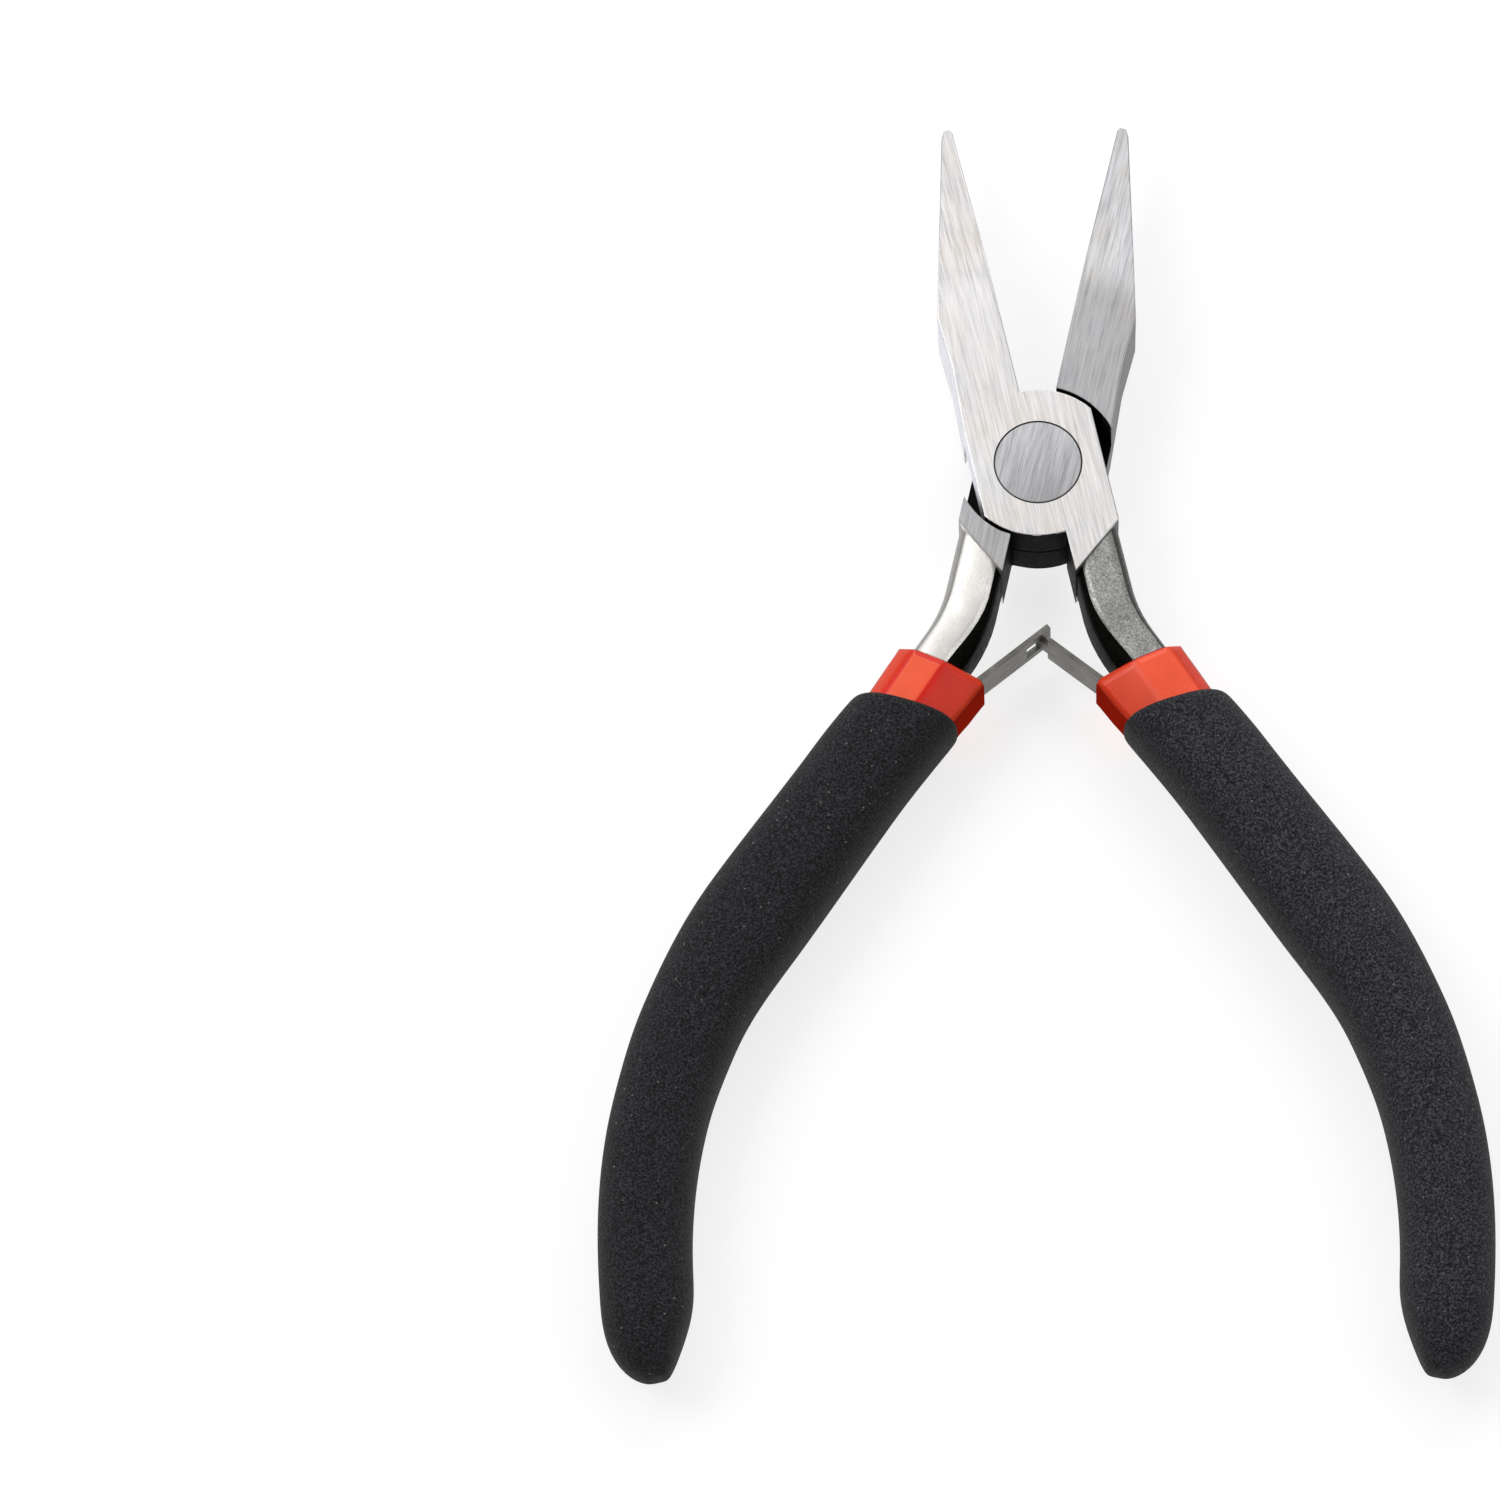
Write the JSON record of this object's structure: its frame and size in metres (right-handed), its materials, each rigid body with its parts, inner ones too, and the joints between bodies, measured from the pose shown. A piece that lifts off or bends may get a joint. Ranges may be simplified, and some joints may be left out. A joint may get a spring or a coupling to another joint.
{
  "type": "pliers",
  "caption": "Small flat-nose fishing pliers with a lap joint, foam grips over red sleeves and leaf springs that hold them open.",
  "frame": {"origin": "centre of the pivot rivet's rear end, with the tool lying flat and its spring holding it open", "axes": "+Z out of the front face along the pivot, +Y to the jaw tips, +X to the handle of the front lever"},
  "size_m": [0.0786, 0.1187, 0.0108],
  "materials": {
    "bright_steel": "ground flats brushed along the jaws, forged sides blackened",
    "rivet_steel": "ground flush, darker than the plates",
    "spring_steel": "dull spring strip",
    "red_vinyl": "glossy dipped vinyl",
    "black_foam": "matte closed-cell foam with a fine grain"
  },
  "bodies": {
    "front_half": {"front_lever": "bright_steel", "pivot_rivet": "rivet_steel", "front_sleeve": "red_vinyl", "front_grip": "black_foam", "front_spring_foot": "spring_steel", "front_spring_rivet": "spring_steel"},
    "back_half": {"back_lever": "bright_steel", "back_sleeve": "red_vinyl", "back_grip": "black_foam", "back_spring_foot": "spring_steel", "back_spring_rivet": "spring_steel"},
    "front_leaf": {"front_spring_leaf": "spring_steel"},
    "back_leaf": {"back_spring_leaf": "spring_steel"}
  },
  "joints": [
    {"name": "jaw_pivot", "type": "hinge", "parent": "front_half", "child": "back_half", "pos_m": [0, 0, 0.0042], "axis": [0, 0, 1], "range_deg": [-4, 24.6], "stiffness_Nm_per_rad": 1.2},
    {"name": "front_leaf_flex", "type": "hinge", "parent": "front_half", "child": "front_leaf", "pos_m": [0.00715, -0.0217, 0.0042], "axis": [0, 0, 1], "range_deg": [-29, 5]},
    {"name": "back_leaf_flex", "type": "hinge", "parent": "back_half", "child": "back_leaf", "pos_m": [-0.00715, -0.0217, 0.0042], "axis": [0, 0, 1], "range_deg": [-5, 29]}
  ],
  "couplings": [
    {"joint": "front_leaf_flex", "follows": "jaw_pivot", "ratio": -1.15},
    {"joint": "back_leaf_flex", "follows": "jaw_pivot", "ratio": 1.15}
  ]
}
